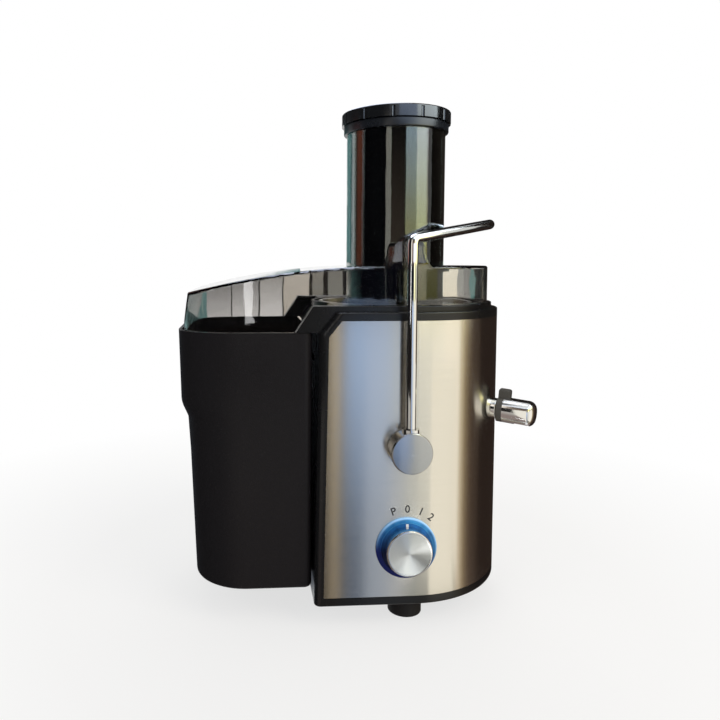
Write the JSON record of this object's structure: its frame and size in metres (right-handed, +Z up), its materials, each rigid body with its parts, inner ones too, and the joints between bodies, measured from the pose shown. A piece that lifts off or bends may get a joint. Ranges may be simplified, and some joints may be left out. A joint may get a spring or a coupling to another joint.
{
  "type": "electric juice extractor",
  "caption": "Wide-mouth centrifugal juice extractor: motor base with wrap-round steel skin, clear lid and chute, pusher, locking bail, lit dial, turning spout and pulp container.",
  "frame": {"origin": "on the table, under the middle of the whole machine's outline", "axes": "+Z up, -Y out of the dial, -X towards the pulp container, +X towards the spout"},
  "size_m": [0.2886, 0.2092, 0.4106],
  "materials": {
    "housing_black": "satin moulded ABS",
    "container_black": "fine-grained moulded ABS",
    "steel_skin": "stainless steel brushed round the body",
    "clear_smoke": "clear smoke-tinted polycarbonate, polished",
    "pusher_dark": "polished dark SAN",
    "cap_black": "moulded ABS with grip grooves",
    "chrome": "bright chrome plate",
    "knob_metal": "spun and turned aluminium",
    "ring_blue": "tinted translucent polycarbonate, lit from behind",
    "rubber_black": "moulded rubber",
    "tool_steel": "ground steel",
    "sieve_steel": "etched stainless steel",
    "winding_copper": "enamelled copper wire, wound",
    "brass_sleeve": "folded brass",
    "core_iron": "stacked electrical steel",
    "carbon": "pressed carbon",
    "nylon_white": "moulded nylon",
    "switch_grey": "moulded phenolic",
    "board_green": "printed circuit board",
    "bracket_alloy": "die-cast"
  },
  "bodies": {
    "base": {"housing": "housing_black", "top_deck": "housing_black", "motor_shelf": "housing_black", "steel_wrap": "steel_skin", "base_cover": "housing_black", "base_screws": "tool_steel", "cord_gland": "rubber_black", "juice_bowl": "housing_black", "lid_cover": "clear_smoke", "feed_chute": "clear_smoke", "interlock_switch": "switch_grey", "dial_ring": "ring_blue", "led_board": "board_green", "rotary_switch": "switch_grey", "spout_collar": "chrome", "outlet_elbow": "housing_black", "motor_mounts": "rubber_black", "motor_screws": "tool_steel", "motor_bracket_upper": "bracket_alloy", "motor_bracket_lower": "bracket_alloy", "bearing_upper": "tool_steel", "bearing_lower": "tool_steel", "brush_holders": "brass_sleeve", "carbon_brushes": "carbon", "stator": "core_iron", "field_coils": "winding_copper", "shaft_seal": "rubber_black", "foot_front": "rubber_black", "foot_rear": "rubber_black", "foot_left": "rubber_black", "foot_right": "rubber_black", "pivot_bush_front": "nylon_white", "pivot_bush_rear": "nylon_white"},
    "pusher": {"pusher_body": "pusher_dark", "pusher_cap": "cap_black"},
    "bail": {"locking_bail": "chrome", "bail_hub_front": "chrome", "bail_hub_rear": "chrome", "pivot_cap_front": "chrome", "pivot_cap_rear": "chrome", "pivot_axle_front": "tool_steel", "pivot_axle_rear": "tool_steel", "axle_clips": "tool_steel", "interlock_cam": "nylon_white"},
    "interlock": {"interlock_button": "nylon_white"},
    "knob": {"control_knob": "knob_metal", "knob_face": "knob_metal", "knob_skirt": "ring_blue", "selector_stem": "nylon_white"},
    "spout": {"spout_tube": "chrome", "turn_ring": "housing_black"},
    "rotor": {"motor_shaft": "tool_steel", "armature": "core_iron", "commutator": "winding_copper", "cooling_fan": "nylon_white", "drive_coupling": "nylon_white", "basket_hub": "nylon_white", "grating_disc": "sieve_steel", "filter_basket": "sieve_steel"},
    "container": {"pulp_container": "container_black"}
  },
  "joints": [
    {"name": "pusher_lift", "type": "slide", "parent": "base", "child": "pusher", "axis": [0, 0, 1], "range_m": [0, 0.187]},
    {"name": "bail_swing", "type": "hinge", "parent": "base", "child": "bail", "pos_m": [0.03233, 0, 0.143], "axis": [0, 1, 0], "range_deg": [0, 95]},
    {"name": "interlock_travel", "type": "slide", "parent": "base", "child": "interlock", "axis": [1, 0, 0], "range_m": [0, 0.003]},
    {"name": "knob_turn", "type": "hinge", "parent": "base", "child": "knob", "pos_m": [0.03233, -0.087, 0.0655], "axis": [0, 1, 0], "range_deg": [-22.5, 45]},
    {"name": "spout_turn", "type": "hinge", "parent": "base", "child": "spout", "pos_m": [0.11245, -0.04865, 0.1648], "axis": [0.827, -0.5578, -0.0698], "range_deg": [0, 180]},
    {"name": "rotor_spin", "type": "hinge", "parent": "base", "child": "rotor", "pos_m": [0.04033, 0, 0], "axis": [0, 0, 1], "continuous": true},
    {"name": "container_draw", "type": "slide", "parent": "base", "child": "container", "axis": [-1, 0, 0], "range_m": [0, 0.03]}
  ],
  "couplings": [
    {"joint": "interlock_travel", "follows": "bail_swing", "m_per_rad": 0.0018093}
  ]
}
